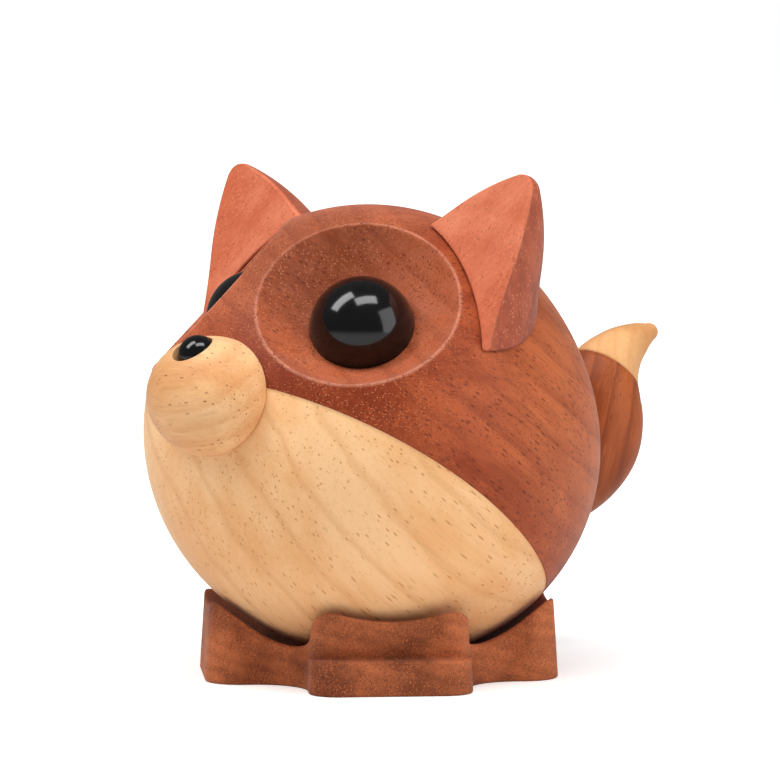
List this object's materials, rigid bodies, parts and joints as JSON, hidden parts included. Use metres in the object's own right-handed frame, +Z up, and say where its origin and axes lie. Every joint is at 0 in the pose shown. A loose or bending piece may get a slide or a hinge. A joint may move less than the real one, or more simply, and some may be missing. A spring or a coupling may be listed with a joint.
{
  "type": "wooden animal figurine",
  "caption": "Round turned-wood fox with a raised tail, glossy eyes and a pale snout, resting loose in a cupped lobed foot and free to turn.",
  "frame": {"origin": "on the foot's flat underside, under the axis that the fox turns about", "axes": "+Z up, the fox looks along -Y, its left side is +X"},
  "size_m": [0.0782, 0.1223, 0.0889],
  "materials": {
    "foot_wood": "matte oiled, dark brown",
    "red_wood": "satin, reddish brown with fine flecks",
    "pale_wood": "satin, pale with tan grain lines",
    "snout_wood": "satin, peach tan with short brown dashes",
    "ear_wood": "satin, light red brown",
    "tail_wood": "satin, orange brown with dark bands",
    "tip_wood": "satin, pale",
    "dowel_wood": "plain beech",
    "black_gloss": "black, glossy"
  },
  "bodies": {
    "foot": {"base": "foot_wood"},
    "fox": {"body_upper": "red_wood", "body_belly": "pale_wood", "body_dowels": "dowel_wood", "snout": "snout_wood", "snout_dowel": "dowel_wood", "nose_bead": "black_gloss", "eye_left": "black_gloss", "eye_right": "black_gloss", "ear_left": "ear_wood", "ear_right": "ear_wood", "ear_dowel_left": "dowel_wood", "ear_dowel_right": "dowel_wood", "tail_body": "tail_wood", "tail_tip": "tip_wood", "tail_dowel": "dowel_wood", "tail_tip_dowel": "dowel_wood"}
  },
  "joints": [
    {"name": "fox_turn", "type": "hinge", "parent": "foot", "child": "fox", "pos_m": [0, 0, 0.0422], "axis": [0, 0, 1], "continuous": true}
  ]
}
